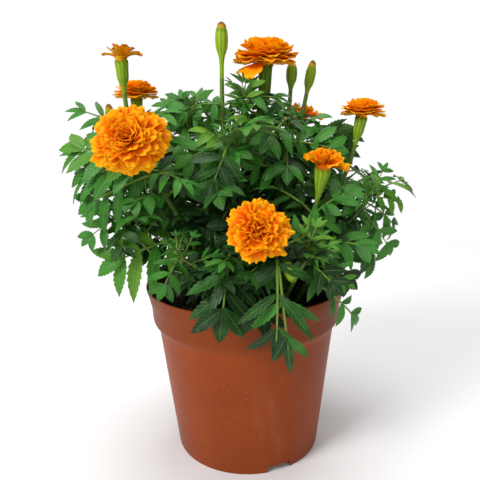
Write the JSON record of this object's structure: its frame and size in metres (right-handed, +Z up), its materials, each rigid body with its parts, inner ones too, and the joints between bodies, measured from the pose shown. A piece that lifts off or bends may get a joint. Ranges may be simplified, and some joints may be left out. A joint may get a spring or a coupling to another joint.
{
  "type": "potted french marigold",
  "caption": "Bushy french marigold with orange double blooms, buds and cut leaves, growing in compost in a small tapered plastic flower pot.",
  "frame": {"origin": "middle of the pot's underside, on the pot's axis", "axes": "+Z up along the pot's axis, -Y towards the plant's front, +X to the right seen from the front"},
  "size_m": [0.2045, 0.163, 0.252],
  "materials": {
    "pot": "satin",
    "soil": "matte",
    "greenery": "matte",
    "petals": "matte"
  },
  "bodies": {
    "root": {"pot": "pot", "soil": "soil", "stem_left_bloom": "greenery", "petals_left_bloom": "petals", "stem_front_bloom": "greenery", "petals_front_bloom": "petals", "stem_top_bloom": "greenery", "petals_top_bloom": "petals", "stem_starry_bloom": "greenery", "petals_starry_bloom": "petals", "stem_rear_left_bloom": "greenery", "petals_rear_left_bloom": "petals", "stem_right_bloom": "greenery", "petals_right_bloom": "petals", "stem_opening_bloom": "greenery", "petals_opening_bloom": "petals", "stem_hidden_bloom": "greenery", "petals_hidden_bloom": "petals", "stem_back_bloom": "greenery", "petals_back_bloom": "petals", "stem_tall_bud": "greenery", "tip_tall_bud": "petals", "stem_dark_bud": "greenery", "stem_orange_bud": "greenery", "tip_orange_bud": "petals", "stem_left_bud": "greenery", "tip_left_bud": "petals", "stem_right_bud": "greenery", "stem_nodding_bud": "greenery", "stem_back_left_bud": "greenery", "tip_back_left_bud": "petals", "stem_back_right_bud": "greenery", "stem_shoot_left": "greenery", "stem_shoot_front_left": "greenery", "stem_shoot_front": "greenery", "stem_shoot_front_right": "greenery", "stem_shoot_right": "greenery", "stem_shoot_back_right": "greenery", "stem_shoot_back": "greenery", "stem_shoot_back_left": "greenery", "stem_shoot_centre": "greenery", "stem_shoot_upper_right": "greenery", "stem_shoot_upper_left": "greenery", "stem_shoot_top": "greenery"}
  },
  "joints": []
}
